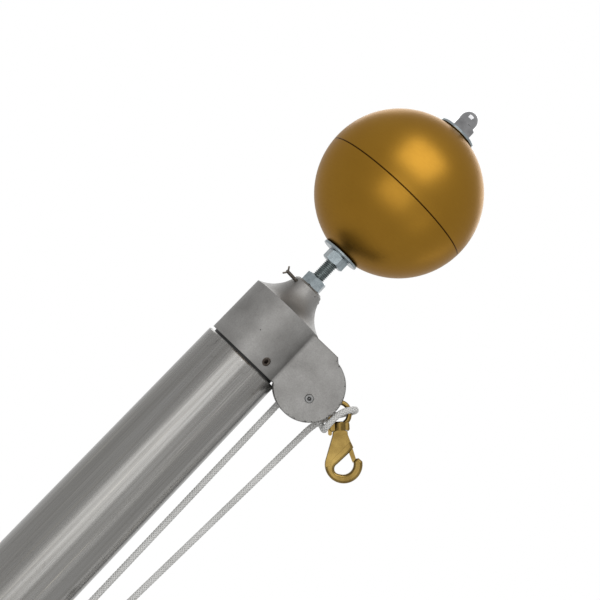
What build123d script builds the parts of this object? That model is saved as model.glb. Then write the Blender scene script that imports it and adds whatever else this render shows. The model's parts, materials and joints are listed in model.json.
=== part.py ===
"""Head of a ground-set flagpole: the last length of a cone-tapered tube with a revolving truck,
one sheave, a ball finial on a threaded rod, and a halyard with a brass swivel snap.

Frame: origin at the centre of the tube's cut lower end, +Z up the pole, +X towards the sheave,
millimetres. The truck, the finial and the halyard turn together about Z on a spigot plug.
"""

import os
from math import cos, pi, radians, sin, sqrt, tan

from build123d import *

# ---------------------------------------------------------------- driving dimensions
FIT = 0.05  # radial clearance of parts that are pressed or screwed together
RUNNING = 0.3  # clearance of parts that turn on each other

# Tapered tube
TUBE_LENGTH = 380.0
TUBE_TOP_DIAMETER = 77.0
TUBE_TAPER = 0.0145  # growth of the diameter for each millimetre down the pole
TUBE_WALL = 4.0
TUBE_LIP = 1.2  # bevel round the tube's top edge
SOCKET_WALL = 4.0  # at the parallel bore of the lower end, which takes a joining sleeve
SOCKET_DEPTH = 80.0
SEAT_WALL = 3.5  # at the parallel bore of the top, which takes the spigot plug
SEAT_DEPTH = 40.0

# Spigot plug and thrust washer
WASHER_THICKNESS = 2.4
WASHER_SET_BACK = 4.9  # inside the tube's top edge
SPIGOT_BEVEL = 2.0
GROOVE_WIDTH = 8.5
GROOVE_DEPTH = 3.0
PLUG_BORE_RADIUS = 12.0

# Truck casting
COLLAR_SET_BACK = 1.3  # inside the tube's top edge
COLLAR_DRAFT = 0.4
COLLAR_HEIGHT = 56.2
COLLAR_WALL = 8.9
COLLAR_ROOF = 10.2  # metal over the spigot's bore
NECK_HOLLOW = 4.4  # depth of the sweep between collar and boss
BOSS_RADIUS = 14.8
BOSS_RISE = 27.8  # height of the boss above the collar
BOSS_BEVEL = 1.8
CHEEK_THICKNESS = 6.0
CHEEK_RADIUS = 32.0
CHEEK_BACK = 7.5  # the disc's centre lies this far behind the axle
CHEEK_LIFT = 8.1  # and this far above it
CHEEK_EDGE = 0.8
CHEEK_FILLET = 4.0  # where a cheek runs into the collar
BRIDGE_DROP = 1.0  # how far the bridge lies below the collar's top
BRIDGE_THICKNESS = 9.0
BRIDGE_REACH = 1.8  # the bridge ends this far beyond the disc's centre
BRIDGE_NOSE = 9.0  # angle on the disc where the bridge's end runs out
CHEEK_CLEARANCE = 1.0  # between the turning cheeks and the tube

# Sheave and axle
AXLE_OUT = 28.7  # from the tube's top edge to the axle
AXLE_RISE = 14.2  # height of the axle above the tube's top
AXLE_RADIUS = 4.0
AXLE_HEAD = 0.8
AXLE_BEVEL = 0.6
AXLE_DIMPLE = 1.9
DIMPLE_DEPTH = 1.4
DIMPLE_FLOOR = 0.4
SHEAVE_WIDTH = 20.6
SHEAVE_SIDE_GAP = 1.2
SHEAVE_PITCH_RADIUS = 16.0  # to the rope's centre
SHEAVE_RIM = 1.5  # how far the flanges stand outside the pitch line
SHEAVE_FLANGE = 1.6
SHEAVE_HUB_RADIUS = 6.5
SHEAVE_RECESS = 2.5
SHEAVE_WEB = 2.0  # metal between the groove's floor and the side recess
AXLE_CLEARANCE = 0.08

# Set screws that keep the truck on the spigot
SCREW_COUNT = 3
SCREW_RADIUS = 4.0
SCREW_RISE = 8.9  # above the collar's lower edge
SCREW_FIRST_ANGLE = -61.0
SCREW_RECESS = 1.0
SCREW_SOCKET_AF = 4.0
SCREW_SOCKET_DEPTH = 3.5
SCREW_SHOULDER = 0.4  # the shank stops this far short of the spigot's bore
DOG_RADIUS = 2.8
DOG_LENGTH = 3.4

# Finial: threaded rod, nuts, washers and spun ball
ROD_RADIUS = 6.0
ROD_BELOW_COLLAR_TOP = 4.2  # how far the rod reaches into the collar
NUT_FLATS = 19.0
NUT_HEIGHT = 10.0
ROD_GAP = 18.0  # bare rod between the two nuts
BALL_WASHER_RADIUS = 18.5
BALL_WASHER_THICKNESS = 2.5
BALL_WASHER_EDGE = 0.4
BALL_RADIUS = 75.4
BALL_WALL = 1.6
BALL_SEAT_RADIUS = 14.0  # flattened seats round the rod
SEAM_DROP = 5.0  # the seam lies this far below the ball's centre
SEAM_LIP = 9.0
SEAM_BEVEL = 0.5
SEAM_GAP = 0.1
DOME_NUT_HEIGHT = 23.0
DOME_RADIUS = 8.6
DOME_ROD_GAP = 2.0  # between the rod's end and the bottom of the dome's bore
DOME_BORE_DEPTH = 17.0
BOSS_NUT_TURN = 22.0
BALL_NUT_TURN = 50.0
DOME_NUT_TURN = -15.0

# Cotter pin through the boss and the rod
COTTER_RADIUS = 1.6
COTTER_DROP = 5.2  # below the top of the boss
COTTER_TURN = 38.0  # about Z, so that the eye lies behind the boss
COTTER_EYE_RADIUS = 2.3
COTTER_WIRE = 0.8  # radius of the eye's wire and of the bent ends
COTTER_GAP = 0.3  # between the sweep of the neck and the eye
COTTER_REACH = 15.1  # from the boss to the fork
COTTER_SPREAD = 3.6  # half the width of the fork
COTTER_CLEARANCE = 0.15

# Halyard
ROPE_RADIUS = 3.0
KNOT_RADIUS = 7.0
KNOT_HEIGHT = 15.0
KNOT_ROUNDING = 3.4
KNOT_TAIL = 16.0

# Swivel snap, in its own frame: X across the hook, Z up its shank, origin in the eye's centre
EYE_OUT = 29.1  # from the axle to the eye's centre, along X
EYE_LIFT = 8.8  # and along Z
EYE_Y = -5.8
SNAP_ANGLE = 46.2  # between the hanging snap and the pole
EYE_RADIUS = 10.8
EYE_BAR = 4.6
EYE_CROWN = 1.8  # the upper bend's centre above the eye's centre
EYE_STRETCH = 2.4  # between the centres of the upper and the lower bend
SADDLE_TOP = -6.6
SADDLE_LEFT = 9.8
SADDLE_RIGHT = 8.4
SADDLE_FOOT = -15.4
SADDLE_CORNER = 2.6
SADDLE_THICKNESS = 5.6
SADDLE_EDGE = 1.6
EAR_REACH = 10.7  # the long ear on the left, beside the hook's shoulder
EAR_WIDTH = 3.3
EAR_FOOT = -18.4
EYE_BOSS_RADIUS = 5.4
EYE_BOSS_EDGE = 1.2
DOME_TOP = -13.4  # the rounded top of the hook's shoulder
DOME_SWEEP = 11.6
SWIVEL_GAP = 0.5
SWIVEL_PIN_RADIUS = 1.8
PIN_CLEARANCE = 0.08
SWIVEL_HEAD_RADIUS = 2.9
SWIVEL_HEAD_HEIGHT = 2.0
HOOK_THICKNESS = 8.0
HOOK_CORNER = 1.2
HOOK_EDGE = 2.6
HOOK_NECK = 6.3  # half widths of the body, at its top and at its shoulder
HOOK_SHOULDER = 7.0
SHOULDER_Z = -18.4
CORNER_X = 11.0  # the body's lower right corner, over the gate
CORNER_Z = -29.6
BOW_X = 1.74
BOW_Z = -44.06
BOW_RADIUS = 16.6
OPENING_X = 1.8
OPENING_Z = -44.0
OPENING_RADIUS = 8.75
OPENING_APEX = (6.2, -34.9)
NOSE_TOP = (15.1, -39.1)
FACET_DEPTH = 1.0  # the body's flanks lie this far below the bow's round bar
RIDGE_TOP = (6.8, -25.6)  # the line where the round bar stands out of the flank
RIDGE_FOOT = (-8.9, -40.0)
GATE_THICKNESS = 3.2
GATE_HEAD_WIDTH = 4.8
GATE_WIDTH = 3.7
GATE_PLAY = 0.4
GATE_PIN_RADIUS = 1.2
GATE_PIN_SINK = 0.3
GATE_PIVOT = (5.9, -23.5)
GATE_TIP = (11.4, -42.2)
GATE_OPENING = 22

# ---------------------------------------------------------------- values that follow
TUBE_TOP = TUBE_LENGTH
TUBE_TOP_RADIUS = TUBE_TOP_DIAMETER / 2
TUBE_FOOT_RADIUS = TUBE_TOP_RADIUS + TUBE_TAPER * TUBE_LENGTH / 2
SOCKET_RADIUS = TUBE_FOOT_RADIUS - SOCKET_WALL
SEAT_RADIUS = TUBE_TOP_RADIUS - SEAT_WALL
COLLAR_RADIUS = TUBE_TOP_RADIUS - COLLAR_SET_BACK
COLLAR_TOP_RADIUS = COLLAR_RADIUS - COLLAR_DRAFT
SPIGOT_RADIUS = COLLAR_RADIUS - COLLAR_WALL - RUNNING
COLLAR_FOOT = TUBE_TOP + WASHER_THICKNESS + FIT
COLLAR_TOP = COLLAR_FOOT + COLLAR_HEIGHT
BORE_TOP = COLLAR_TOP - COLLAR_ROOF
SPIGOT_TOP = BORE_TOP - 4 * RUNNING
BOSS_TOP = COLLAR_TOP + BOSS_RISE
SCREW_Z = COLLAR_FOOT + SCREW_RISE
CHEEK_INNER = SHEAVE_WIDTH / 2 + SHEAVE_SIDE_GAP
CHEEK_OUTER = CHEEK_INNER + CHEEK_THICKNESS
AXLE_X = TUBE_TOP_RADIUS + AXLE_OUT
AXLE_Z = TUBE_TOP + AXLE_RISE
CHEEK_X = AXLE_X - CHEEK_BACK
CHEEK_Z = AXLE_Z + CHEEK_LIFT
SHEAVE_RADIUS = SHEAVE_PITCH_RADIUS + SHEAVE_RIM
GROOVE_RADIUS = SHEAVE_PITCH_RADIUS - ROPE_RADIUS - RUNNING
COTTER_Z = BOSS_TOP - COTTER_DROP
COTTER_HOLE = COTTER_RADIUS + COTTER_CLEARANCE
ROD_FOOT = COLLAR_TOP - ROD_BELOW_COLLAR_TOP
UPPER_NUT_Z = BOSS_TOP + NUT_HEIGHT + ROD_GAP
BALL_SEAT_DROP = sqrt(BALL_RADIUS**2 - BALL_SEAT_RADIUS**2)
BALL_Z = UPPER_NUT_Z + NUT_HEIGHT + BALL_WASHER_THICKNESS + BALL_SEAT_DROP
DOME_NUT_Z = BALL_Z + BALL_SEAT_DROP + BALL_WASHER_THICKNESS
ROD_TOP = DOME_NUT_Z + DOME_BORE_DEPTH - DOME_ROD_GAP
EYE_X = AXLE_X + EYE_OUT
EYE_Z = AXLE_Z + EYE_LIFT
EYE_BEND = EYE_RADIUS - EYE_BAR / 2

STANDING = (Align.CENTER, Align.CENTER, Align.MIN)

parts = {}


def tube_radius(z):
    """Outer radius of the tapered tube at a height."""
    return TUBE_TOP_RADIUS + TUBE_TAPER * (TUBE_TOP - z) / 2


def turned(*outline):
    """A solid turned about Z from (radius, height) points."""
    points = [(r, 0, z) for r, z in outline]
    return revolve(make_face(Polyline(*points, close=True)), Axis.Z)


def rod_between(radius, foot, top):
    """A round bar on Z between two heights."""
    return Pos(0, 0, foot) * Cylinder(radius, top - foot, align=STANDING)


# ---------------------------------------------------------------- tube and spigot plug
def make_tube():
    inner_top = tube_radius(TUBE_TOP - SEAT_DEPTH) - TUBE_WALL
    inner_foot = tube_radius(SOCKET_DEPTH) - TUBE_WALL
    return turned(
        (SOCKET_RADIUS, 0),
        (TUBE_FOOT_RADIUS, 0),
        (tube_radius(TUBE_TOP - TUBE_LIP), TUBE_TOP - TUBE_LIP),
        (TUBE_TOP_RADIUS - TUBE_LIP, TUBE_TOP),
        (SEAT_RADIUS, TUBE_TOP),
        (SEAT_RADIUS, TUBE_TOP - SEAT_DEPTH),
        (inner_top, TUBE_TOP - SEAT_DEPTH),
        (inner_foot, SOCKET_DEPTH),
        (SOCKET_RADIUS, SOCKET_DEPTH),
    )


def make_plug():
    foot = TUBE_TOP - SEAT_DEPTH
    groove_low = SCREW_Z - GROOVE_WIDTH / 2
    groove_high = SCREW_Z + GROOVE_WIDTH / 2
    groove_floor = SPIGOT_RADIUS - GROOVE_DEPTH
    seat = SEAT_RADIUS - FIT
    return turned(
        (PLUG_BORE_RADIUS, foot),
        (seat, foot),
        (seat, TUBE_TOP),
        (SPIGOT_RADIUS, TUBE_TOP),
        (SPIGOT_RADIUS, groove_low),
        (groove_floor, groove_low),
        (groove_floor, groove_high),
        (SPIGOT_RADIUS, groove_high),
        (SPIGOT_RADIUS, SPIGOT_TOP - SPIGOT_BEVEL),
        (SPIGOT_RADIUS - SPIGOT_BEVEL, SPIGOT_TOP),
        (PLUG_BORE_RADIUS, SPIGOT_TOP),
    )


def make_thrust_washer():
    outer = TUBE_TOP_RADIUS - WASHER_SET_BACK
    ring = rod_between(outer, TUBE_TOP, TUBE_TOP + WASHER_THICKNESS)
    return ring - rod_between(SPIGOT_RADIUS + RUNNING, TUBE_TOP - 1, COLLAR_FOOT + 1)


# ---------------------------------------------------------------- truck casting
def collar_and_neck():
    """The round body: a drafted collar, a hollow sweep and the boss for the rod."""
    collar_edge = (COLLAR_TOP_RADIUS, COLLAR_TOP)
    boss_edge = (BOSS_RADIUS, BOSS_TOP - BOSS_BEVEL)
    with BuildPart() as body:
        with BuildSketch(Plane.XZ):
            with BuildLine():
                Polyline((0, COLLAR_FOOT), (COLLAR_RADIUS, COLLAR_FOOT), collar_edge)
                SagittaArc(collar_edge, boss_edge, NECK_HOLLOW)
                Polyline(
                    boss_edge, (BOSS_RADIUS - BOSS_BEVEL, BOSS_TOP), (0, BOSS_TOP), (0, COLLAR_FOOT)
                )
            make_face()
        revolve(axis=Axis.Z)
    return body.part


def clear_of_neck(z, distance):
    """How far from Z a point at a height lies when it is a distance outside the neck's sweep."""
    low = Vector(COLLAR_TOP_RADIUS, COLLAR_TOP)
    high = Vector(BOSS_RADIUS, BOSS_TOP - BOSS_BEVEL)
    chord = high - low
    half = chord.length / 2
    radius = (half**2 + NECK_HOLLOW**2) / (2 * NECK_HOLLOW)
    outward = Vector(chord.Y, -chord.X).normalized()
    centre = (low + high) / 2 + outward * (radius - NECK_HOLLOW)
    return centre.X - sqrt((radius - distance) ** 2 - (z - centre.Y) ** 2)


def cheek_outline():
    """Side view of a cheek: a disc, and the arm that joins it to the collar."""
    top = COLLAR_TOP - BRIDGE_DROP
    root = SPIGOT_RADIUS + RUNNING + 0.5
    end = CHEEK_X + BRIDGE_REACH
    nose = radians(BRIDGE_NOSE)
    arm = Polyline(
        (root, COLLAR_FOOT),
        (CHEEK_X, COLLAR_FOOT),
        (CHEEK_X + CHEEK_RADIUS * sin(nose), CHEEK_Z + CHEEK_RADIUS * cos(nose)),
        (end, top - CHEEK_EDGE),
        (end - CHEEK_EDGE, top),
        (root, top),
        close=True,
    )
    return Pos(CHEEK_X, CHEEK_Z) * Circle(CHEEK_RADIUS) + make_face(arm)


def cheek_roots():
    """The rounded corners in which the cheeks run into the collar."""
    corner_x = sqrt(COLLAR_TOP_RADIUS**2 - CHEEK_OUTER**2)
    end = corner_x + 2 * CHEEK_FILLET
    plan = Circle(COLLAR_TOP_RADIUS) + Pos(end / 2, 0) * Rectangle(end, 2 * CHEEK_OUTER)
    corners = [vertex for vertex in plan.vertices() if abs(vertex.X - corner_x) < FIT]
    plan = fillet(corners, CHEEK_FILLET)
    height = COLLAR_HEIGHT - BRIDGE_DROP - 2 * CHEEK_EDGE
    return Pos(0, 0, COLLAR_FOOT + CHEEK_EDGE) * extrude(plan, height)


def cheek_pair():
    """Both cheeks and the bridge over the sheave, before they join the collar."""
    slab = extrude(Plane.XZ * cheek_outline(), CHEEK_OUTER, both=True)
    sides = slab.faces().sort_by(Axis.Y)
    slab = chamfer(sides[0].edges() + sides[-1].edges(), CHEEK_EDGE)
    slab += cheek_roots()
    slot_x = COLLAR_RADIUS + FIT
    slot_foot = CHEEK_Z - CHEEK_RADIUS - 1
    slot_roof = COLLAR_TOP - BRIDGE_DROP - BRIDGE_THICKNESS
    reach = 2 * CHEEK_RADIUS
    from_collar = (Align.MIN, Align.CENTER, Align.MIN)
    slab -= Pos(slot_x, 0, slot_foot) * Box(
        CHEEK_X + reach - slot_x, 2 * CHEEK_INNER, slot_roof - slot_foot, align=from_collar
    )
    slab -= Pos(CHEEK_X + BRIDGE_REACH, 0, slot_roof - 1) * Box(
        reach, 2 * CHEEK_INNER, reach, align=from_collar
    )
    return slab - rod_between(TUBE_TOP_RADIUS + CHEEK_CLEARANCE, slot_foot - 1, COLLAR_FOOT)


def make_truck():
    truck = collar_and_neck() + cheek_pair()
    truck -= rod_between(SPIGOT_RADIUS + RUNNING, COLLAR_FOOT - 1, BORE_TOP)
    truck -= rod_between(ROD_RADIUS + FIT, ROD_FOOT - 1, BOSS_TOP + 1)
    truck -= cotter_place() * Cylinder(COTTER_HOLE, 4 * BOSS_RADIUS)
    truck -= Pos(AXLE_X, 0, AXLE_Z) * Rot(90, 0, 0) * Cylinder(AXLE_RADIUS + FIT, 4 * CHEEK_OUTER)
    for placed in screw_places():
        truck -= placed * rod_between(SCREW_RADIUS + FIT, SPIGOT_RADIUS - 2, COLLAR_RADIUS + 5)
    return truck


# ---------------------------------------------------------------- screws, axle, sheave
def screw_places():
    """Where the set screws stand: frames whose Z axis points out of the collar."""
    step = 360 / SCREW_COUNT
    turns = [SCREW_FIRST_ANGLE + i * step for i in range(SCREW_COUNT)]
    return [Pos(0, 0, SCREW_Z) * Rot(0, 0, turn) * Rot(0, 90, 0) for turn in turns]


def make_screw(placed):
    """A hexagon-socket set screw with a dog point that runs in the spigot's groove."""
    head = COLLAR_RADIUS - SCREW_RECESS
    shoulder = SPIGOT_RADIUS + RUNNING + SCREW_SHOULDER
    shank = rod_between(SCREW_RADIUS, shoulder, head)
    dog = rod_between(DOG_RADIUS, shoulder - DOG_LENGTH, shoulder)
    hexagon_face = RegularPolygon(SCREW_SOCKET_AF / 2, 6, major_radius=False)
    socket = Pos(0, 0, head - SCREW_SOCKET_DEPTH) * extrude(hexagon_face, SCREW_SOCKET_DEPTH + 1)
    return placed * (shank + dog - socket)


def make_axle():
    half = CHEEK_OUTER + AXLE_HEAD
    pin = Cylinder(AXLE_RADIUS, 2 * half)
    pin = chamfer(pin.edges().filter_by(GeomType.CIRCLE), AXLE_BEVEL)
    hollow = (Align.CENTER, Align.CENTER, Align.MAX)
    dimple = Pos(0, 0, half) * Cone(DIMPLE_FLOOR, AXLE_DIMPLE, DIMPLE_DEPTH, align=hollow)
    pin = pin - dimple - dimple.mirror(Plane.XY)
    return Pos(AXLE_X, 0, AXLE_Z) * Rot(90, 0, 0) * pin


def make_sheave():
    """A grooved wheel, turned about its own axis and laid along Y."""
    half = SHEAVE_WIDTH / 2
    bore = AXLE_RADIUS + AXLE_CLEARANCE
    recess = GROOVE_RADIUS - SHEAVE_WEB
    recess_z = half - SHEAVE_RECESS
    lip = half - SHEAVE_FLANGE
    round_groove = ROPE_RADIUS + RUNNING + 0.2
    low = (GROOVE_RADIUS + round_groove, -round_groove)
    high = (GROOVE_RADIUS + round_groove, round_groove)
    with BuildPart() as wheel:
        with BuildSketch(Plane.XZ):
            with BuildLine():
                Polyline(
                    high,
                    (SHEAVE_RADIUS, lip),
                    (SHEAVE_RADIUS, half),
                    (recess, half),
                    (recess - 1, recess_z),
                    (SHEAVE_HUB_RADIUS + 1, recess_z),
                    (SHEAVE_HUB_RADIUS, half),
                    (bore, half),
                    (bore, -half),
                    (SHEAVE_HUB_RADIUS, -half),
                    (SHEAVE_HUB_RADIUS + 1, -recess_z),
                    (recess - 1, -recess_z),
                    (recess, -half),
                    (SHEAVE_RADIUS, -half),
                    (SHEAVE_RADIUS, -lip),
                    low,
                )
                ThreePointArc(low, (GROOVE_RADIUS, 0), high)
            make_face()
        revolve(axis=Axis.Z)
    return Pos(AXLE_X, 0, AXLE_Z) * Rot(90, 0, 0) * wheel.part


# ---------------------------------------------------------------- finial
def nut_blank():
    """A hexagon with the turned bevels of a standard nut."""
    blank = extrude(RegularPolygon(NUT_FLATS / 2, 6, major_radius=False), NUT_HEIGHT)
    corner = NUT_FLATS / sqrt(3)
    bevel = (corner - NUT_FLATS / 2) * tan(radians(30))
    return blank & turned(
        (0, 0),
        (NUT_FLATS / 2, 0),
        (corner, bevel),
        (corner, NUT_HEIGHT - bevel),
        (NUT_FLATS / 2, NUT_HEIGHT),
        (0, NUT_HEIGHT),
    )


def make_nut(z, turn):
    nut = nut_blank() - Cylinder(ROD_RADIUS + FIT, 4 * NUT_HEIGHT)
    return Pos(0, 0, z) * Rot(0, 0, turn) * nut


def make_dome_nut():
    shoulder = DOME_NUT_HEIGHT - DOME_RADIUS
    cap = rod_between(DOME_RADIUS, 0, shoulder) + Pos(0, 0, shoulder) * Sphere(DOME_RADIUS)
    nut = nut_blank() + cap - Cylinder(ROD_RADIUS + FIT, 2 * DOME_BORE_DEPTH)
    return Pos(0, 0, DOME_NUT_Z) * Rot(0, 0, DOME_NUT_TURN) * nut


def make_ball_washer(z):
    ring = Cylinder(BALL_WASHER_RADIUS, BALL_WASHER_THICKNESS, align=STANDING)
    ring = chamfer(ring.edges().filter_by(GeomType.CIRCLE), BALL_WASHER_EDGE)
    return Pos(0, 0, z) * (ring - Cylinder(ROD_RADIUS + RUNNING, 4 * BALL_WASHER_THICKNESS))


def make_rod():
    return rod_between(ROD_RADIUS, ROD_FOOT, ROD_TOP) - cotter_place() * Cylinder(
        COTTER_HOLE, 4 * ROD_RADIUS
    )


def on_sphere(radius, z):
    """The point of a sphere's half circle at a height, in the bowl's own frame."""
    return (sqrt(radius**2 - z**2), z)


def arc_on_sphere(start, end, radius):
    """The part of a sphere's half circle between two of its points."""
    middle = (Vector(*start) + Vector(*end)).normalized() * radius
    return ThreePointArc(start, (middle.X, middle.Y), end)


def make_ball_lower():
    """Lower bowl with a stepped lip that the upper bowl slides over."""
    inner = BALL_RADIUS - BALL_WALL
    lip_outer = inner - FIT
    lip_inner = lip_outer - BALL_WALL
    bore = ROD_RADIUS + FIT
    seat = (BALL_SEAT_RADIUS, -BALL_SEAT_DROP)
    edge = on_sphere(BALL_RADIUS, -SEAM_DROP - SEAM_BEVEL)
    step = (on_sphere(BALL_RADIUS, -SEAM_DROP)[0] - SEAM_BEVEL, -SEAM_DROP)
    lip_foot = on_sphere(lip_outer, -SEAM_DROP)
    lip_top = on_sphere(lip_outer, SEAM_LIP - SEAM_DROP)
    lip_inside = on_sphere(lip_inner, SEAM_LIP - SEAM_DROP)
    lip_low = on_sphere(lip_inner, -SEAM_DROP - SEAM_LIP)
    wall_top = on_sphere(inner, -SEAM_DROP - SEAM_LIP)
    floor_z = BALL_WALL - BALL_SEAT_DROP
    floor = (BALL_SEAT_RADIUS - 1, floor_z)
    with BuildPart() as bowl:
        with BuildSketch(Plane.XZ):
            with BuildLine():
                Line((bore, -BALL_SEAT_DROP), seat)
                arc_on_sphere(seat, edge, BALL_RADIUS)
                Polyline(edge, step, lip_foot)
                arc_on_sphere(lip_foot, lip_top, lip_outer)
                Line(lip_top, lip_inside)
                arc_on_sphere(lip_inside, lip_low, lip_inner)
                Line(lip_low, wall_top)
                arc_on_sphere(wall_top, floor, inner)
                Polyline(floor, (bore, floor_z), (bore, -BALL_SEAT_DROP))
            make_face()
        revolve(axis=Axis.Z)
    return Pos(0, 0, BALL_Z) * bowl.part


def make_ball_upper():
    inner = BALL_RADIUS - BALL_WALL
    bore = ROD_RADIUS + FIT
    foot_z = -SEAM_DROP + SEAM_GAP
    seat = (BALL_SEAT_RADIUS, BALL_SEAT_DROP)
    edge = on_sphere(BALL_RADIUS, foot_z + SEAM_BEVEL)
    foot = (on_sphere(BALL_RADIUS, foot_z)[0] - SEAM_BEVEL, foot_z)
    foot_inside = on_sphere(inner, foot_z)
    roof_z = BALL_SEAT_DROP - BALL_WALL
    roof = (BALL_SEAT_RADIUS - 1, roof_z)
    with BuildPart() as bowl:
        with BuildSketch(Plane.XZ):
            with BuildLine():
                Line((bore, BALL_SEAT_DROP), seat)
                arc_on_sphere(seat, edge, BALL_RADIUS)
                Polyline(edge, foot, foot_inside)
                arc_on_sphere(foot_inside, roof, inner)
                Polyline(roof, (bore, roof_z), (bore, BALL_SEAT_DROP))
            make_face()
        revolve(axis=Axis.Z)
    return Pos(0, 0, BALL_Z) * bowl.part


def cotter_place():
    """The cotter's frame: Z runs along the pin, towards its eye."""
    return Pos(0, 0, COTTER_Z) * Rot(0, 0, COTTER_TURN) * Rot(0, 90, 0)


def make_cotter():
    """A split pin with a round eye, whose two legs are bent apart beyond the boss."""
    fork = -BOSS_RADIUS - COTTER_REACH
    eye_z = clear_of_neck(COTTER_Z, COTTER_EYE_RADIUS + COTTER_GAP)
    shank = rod_between(COTTER_RADIUS, fork, eye_z - COTTER_EYE_RADIUS + 2 * COTTER_WIRE)
    eye = Pos(0, 0, eye_z) * Rot(90, 0, 0) * Torus(COTTER_EYE_RADIUS - COTTER_WIRE, COTTER_WIRE)
    pin = shank + eye
    for side in (-1, 1):
        start = Vector(side * COTTER_WIRE, 0, fork + COTTER_WIRE)
        end = Vector(side * COTTER_SPREAD, 0, fork - COTTER_RADIUS)
        leg = Line(start, end)
        pin += sweep(Plane(start, z_dir=end - start) * Circle(COTTER_WIRE), path=leg)
        pin += Pos(*end) * Sphere(COTTER_WIRE + FIT)
    return cotter_place() * pin


# ---------------------------------------------------------------- swivel snap
def snap_place():
    """The frame of the hanging snap, with its origin in the centre of the eye."""
    return Pos(EYE_X, EYE_Y, EYE_Z) * Rot(0, -SNAP_ANGLE, 0)


def plate(face, thickness):
    """A flat piece in the snap's own frame, centred on the plane of the snap."""
    return extrude(Plane.XZ * face, thickness / 2, both=True)


def block(left, right, foot, top, corner, thickness):
    """A plate with rounded corners between four sides."""
    face = RectangleRounded(right - left, top - foot, corner)
    return plate(Pos((left + right) / 2, (foot + top) / 2) * face, thickness)


def shoulder_room(gap):
    """The room that the hook's rounded shoulder turns in, grown by a gap."""
    sweep_radius = DOME_SWEEP + gap
    ball = Pos(0, 0, DOME_TOP - DOME_SWEEP) * Sphere(sweep_radius)
    shaft = rod_between(HOOK_SHOULDER + gap, EAR_FOOT - DOME_SWEEP, DOME_TOP + gap)
    return ball & shaft


def eye_ring():
    """A round bar bent into an upright loop: two half rings and two straight sides."""
    ring = Rot(90, 0, 0) * Torus(EYE_BEND, EYE_BAR / 2)
    reach = 4 * EYE_RADIUS
    above = Box(reach, reach, reach, align=STANDING)
    below = above.rotate(Axis.X, 180)
    loop = Pos(0, 0, EYE_CROWN) * (ring & above)
    loop += Pos(0, 0, EYE_CROWN - EYE_STRETCH) * (ring & below)
    for side in (-1, 1):
        bar = rod_between(EYE_BAR / 2, EYE_CROWN - EYE_STRETCH, EYE_CROWN)
        loop += Pos(side * EYE_BEND, 0, 0) * bar
    return loop


def make_eye():
    """A cast loop on a saddle, with a boss bored for the swivel pin and an ear at one end."""
    saddle = block(
        -SADDLE_LEFT, SADDLE_RIGHT, SADDLE_FOOT, SADDLE_TOP, SADDLE_CORNER, SADDLE_THICKNESS
    )
    sides = saddle.faces().sort_by(Axis.Y)
    saddle = fillet(sides[0].edges() + sides[-1].edges(), SADDLE_EDGE)
    ear_corner = EAR_WIDTH / 2 - FIT
    ear = block(-EAR_REACH, EAR_WIDTH - EAR_REACH, EAR_FOOT, SADDLE_TOP - 2, ear_corner, EYE_BAR - 0.4)
    boss = rod_between(EYE_BOSS_RADIUS, SADDLE_FOOT, SADDLE_TOP)
    boss = fillet(boss.edges().group_by(Axis.Z)[-1], EYE_BOSS_EDGE)
    eye = saddle + ear + boss
    eye = eye + eye_ring()
    eye -= shoulder_room(SWIVEL_GAP)
    eye -= rod_between(SWIVEL_PIN_RADIUS + PIN_CLEARANCE, SADDLE_FOOT - 1, SADDLE_TOP + 1)
    recess = SADDLE_TOP - SWIVEL_HEAD_HEIGHT - 2 * RUNNING
    eye -= rod_between(SWIVEL_HEAD_RADIUS + RUNNING, recess, SADDLE_TOP + 1)
    return snap_place() * eye


def hook_face():
    """Side view of the hook body: shoulder, flanks, bow and nose round a drop-shaped opening."""

    def on(x, z, radius, angle):
        return (x + radius * cos(radians(angle)), z + radius * sin(radians(angle)))

    bow_start = on(BOW_X, BOW_Z, BOW_RADIUS, 168)
    bow_end = on(BOW_X, BOW_Z, BOW_RADIUS, 7)
    flank_low = (-4.2, -43.7)
    heel = (-6.6, -48.2)
    opening_foot = (-2.2, -52.2)
    opening_end = on(OPENING_X, OPENING_Z, OPENING_RADIUS, 13)
    with BuildSketch() as side:
        with BuildLine():
            Polyline(
                bow_start,
                (-HOOK_SHOULDER, SHOULDER_Z),
                (-HOOK_NECK, DOME_TOP),
                (HOOK_NECK, DOME_TOP),
                (HOOK_SHOULDER - 0.3, SHOULDER_Z),
                (8.2, -23.0),
                (CORNER_X, CORNER_Z),
                OPENING_APEX,
                flank_low,
            )
            ThreePointArc(flank_low, heel, opening_foot)
            ThreePointArc(
                opening_foot, on(OPENING_X, OPENING_Z, OPENING_RADIUS, -60), opening_end
            )
            Polyline(opening_end, (NOSE_TOP[0] - 2.6, NOSE_TOP[1] - 0.6), NOSE_TOP, bow_end)
            ThreePointArc(bow_end, on(BOW_X, BOW_Z, BOW_RADIUS, 270), bow_start)
        make_face()
    return side.sketch


def flank_face():
    """The part of the side view that lies back from the bow's round bar."""
    far = 2 * BOW_RADIUS
    return make_face(
        Polyline(
            (RIDGE_TOP[0] + far, RIDGE_TOP[1] + far * 0.92),
            RIDGE_TOP,
            RIDGE_FOOT,
            (RIDGE_FOOT[0] - 1.4, RIDGE_FOOT[1] - 5.0),
            (RIDGE_FOOT[0] - far, RIDGE_FOOT[1] - 9.0),
            (RIDGE_FOOT[0] - far, 0),
            close=True,
        )
    )


def gate_face(grow=0.0):
    """Side view of the gate: a tapering lever with a round head at its pivot."""
    pivot = Vector(*GATE_PIVOT)
    tip = Vector(*GATE_TIP)
    along = (tip - pivot).normalized()
    tip += along * grow
    side = Vector(-along.Y, along.X)
    head = side * (GATE_HEAD_WIDTH / 2 + grow)
    foot = side * (GATE_WIDTH / 2 + grow)
    corners = (pivot + head, tip + foot, tip - foot, pivot - head)
    lever = make_face(Polyline(*[(p.X, p.Y) for p in corners], close=True))
    return lever + Pos(*GATE_PIVOT) * Circle(GATE_HEAD_WIDTH / 2 + grow)


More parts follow.
